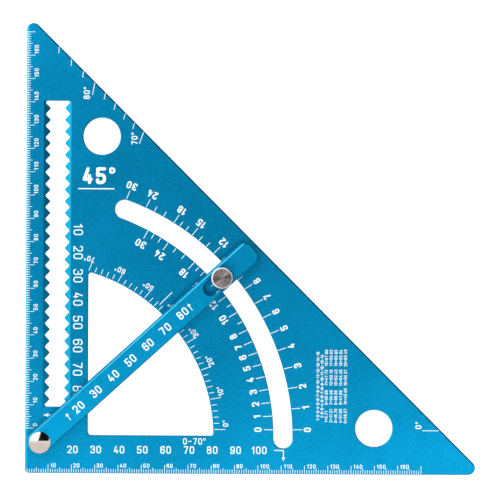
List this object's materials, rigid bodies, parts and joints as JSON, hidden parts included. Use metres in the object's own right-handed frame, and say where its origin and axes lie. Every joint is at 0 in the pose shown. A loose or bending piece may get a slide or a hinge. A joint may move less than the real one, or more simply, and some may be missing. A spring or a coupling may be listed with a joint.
{
  "type": "adjustable set square",
  "caption": "Flat 45 degree triangle with ruled legs, a notched scribing slot and a protractor window, and a pivoting index arm with a rear fence bar locked by a thumb screw in an arc slot.",
  "frame": {"origin": "centre of the bounding box at the level of the fence bar's rear face, on which the square stands when it lies flat", "axes": "+X along the seat edge away from the heel, +Y along the plumb edge away from the heel, +Z out of the marked face"},
  "size_m": [0.1932, 0.1932, 0.0213],
  "materials": {
    "plate_blue": "bead-blasted, blue anodised, with white etched scales",
    "arm_blue": "bead-blasted, blue anodised",
    "polished_steel": "mirror polished",
    "steel": "zinc plated",
    "turned_steel": "turned face, straight knurl",
    "brass": "turned",
    "nylon": "natural"
  },
  "bodies": {
    "square": {"square_plate": "plate_blue"},
    "arm": {"index_arm": "arm_blue", "rear_fence": "arm_blue", "pivot_rivet": "polished_steel", "rivet_washer": "steel", "pivot_bush": "brass", "front_pivot_washer": "nylon", "rear_pivot_washer": "nylon"},
    "clamp": {"square_nut": "steel", "front_slip_washer": "nylon", "rear_slip_washer": "nylon"},
    "clamp_washer": {"screw_washer": "steel"},
    "clamp_screw": {"thumb_screw": "turned_steel"}
  },
  "joints": [
    {"name": "arm_swing", "type": "hinge", "parent": "square", "child": "arm", "pos_m": [-0.09006, -0.08333, 0.0105], "axis": [0, 0, 1], "range_deg": [-42.3, 27.7]},
    {"name": "clamp_slide", "type": "slide", "parent": "arm", "child": "clamp", "axis": [0.7396, 0.673, 0], "range_m": [-0.0013, 0.0009]},
    {"name": "screw_lift", "type": "slide", "parent": "clamp", "child": "clamp_washer", "axis": [0, 0, 1], "range_m": [0, 0.0014]},
    {"name": "screw_turn", "type": "hinge", "parent": "clamp_washer", "child": "clamp_screw", "pos_m": [-0.01225, -0.01252, 0.016], "axis": [0, 0, 1], "range_deg": [0, 720]}
  ],
  "couplings": [
    {"joint": "clamp_slide", "follows": "arm_swing", "m_per_rad": 0.0017048},
    {"joint": "screw_turn", "follows": "screw_lift", "rad_per_m": 8976}
  ]
}
